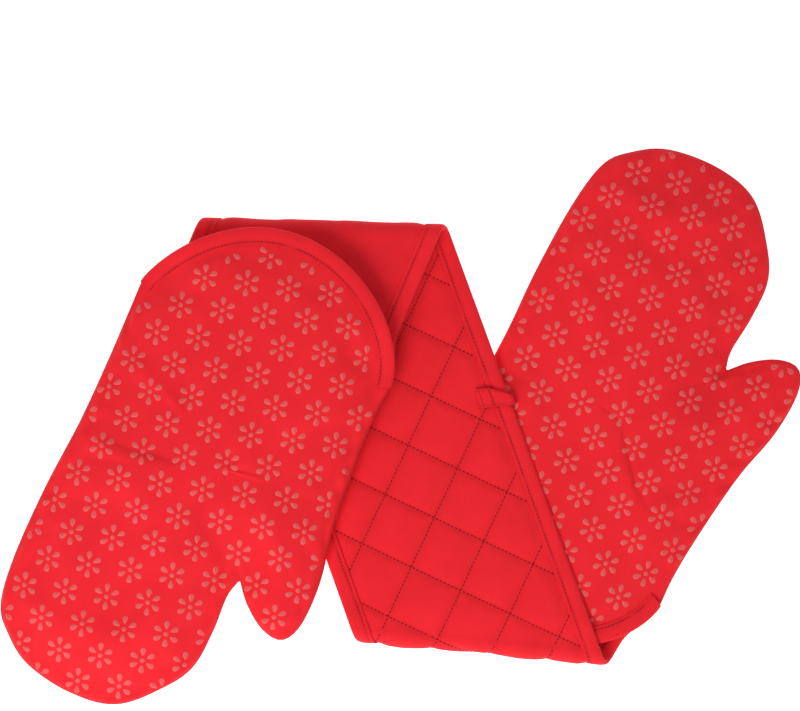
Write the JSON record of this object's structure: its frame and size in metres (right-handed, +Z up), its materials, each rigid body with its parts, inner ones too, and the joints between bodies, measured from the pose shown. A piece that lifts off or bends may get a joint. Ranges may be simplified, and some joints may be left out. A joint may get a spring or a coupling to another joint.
{
  "type": "oven mitt",
  "caption": "Double oven mitt: two thumbed quilted mitts joined by one long quilted strap with bound edges and a hanging loop, folded flat in a Z.",
  "frame": {"origin": "centre of the folded object's footprint, on the surface it lies on", "axes": "+Z up from that surface, +X along the longest side of the footprint, from the upper mitt to the lower one, +Y towards the lower mitt's fingertips"},
  "size_m": [0.5486, 0.3814, 0.0384],
  "materials": {
    "printed_palm_cotton": "plain woven cotton with raised matt silicone flowers",
    "quilted_cotton": "plain woven cotton, diamond quilted in matching thread",
    "plain_cotton_lining": "plain woven cotton",
    "binding_tape": "folded cotton bias tape with one row of topstitching",
    "cotton_wadding": "fluffy polyester and cotton wadding",
    "silicone_print": "matt translucent silicone"
  },
  "bodies": {
    "strap": {"strap_shell": "quilted_cotton", "strap_wadding": "cotton_wadding", "strap_lining": "plain_cotton_lining", "strap_binding_far_side": "binding_tape", "strap_binding_thumb_side": "binding_tape", "hanging_loop_tab": "binding_tape"},
    "left_mitt": {"left_palm_shell": "printed_palm_cotton", "left_palm_wadding": "cotton_wadding", "left_palm_lining": "plain_cotton_lining", "left_cuff_binding": "binding_tape", "left_back_shell": "quilted_cotton", "left_back_wadding": "cotton_wadding", "left_back_lining": "plain_cotton_lining", "left_leg_binding_far_side": "binding_tape", "left_leg_binding_thumb_side": "binding_tape"},
    "right_mitt": {"right_palm_shell": "printed_palm_cotton", "right_palm_wadding": "cotton_wadding", "right_palm_lining": "plain_cotton_lining", "right_cuff_binding": "binding_tape", "right_back_shell": "quilted_cotton", "right_back_wadding": "cotton_wadding", "right_back_lining": "plain_cotton_lining", "right_leg_binding_far_side": "binding_tape", "right_leg_binding_thumb_side": "binding_tape"},
    "loop": {"hanging_loop": "binding_tape"}
  },
  "joints": [
    {"name": "top_fold", "type": "hinge", "parent": "strap", "child": "left_mitt", "pos_m": [-0.05241, 0.14396, 0.01], "axis": [-0.9996, 0.0279, 0], "range_deg": [0, 180]},
    {"name": "bottom_fold", "type": "hinge", "parent": "strap", "child": "right_mitt", "pos_m": [0.05633, -0.15806, 0.01], "axis": [-0.9956, 0.0941, 0], "range_deg": [0, 180]},
    {"name": "loop_swing", "type": "hinge", "parent": "strap", "child": "loop", "pos_m": [0.0633, 0.02035, 0.0222], "axis": [0.3387, -0.9409, 0], "range_deg": [0, 160]}
  ]
}
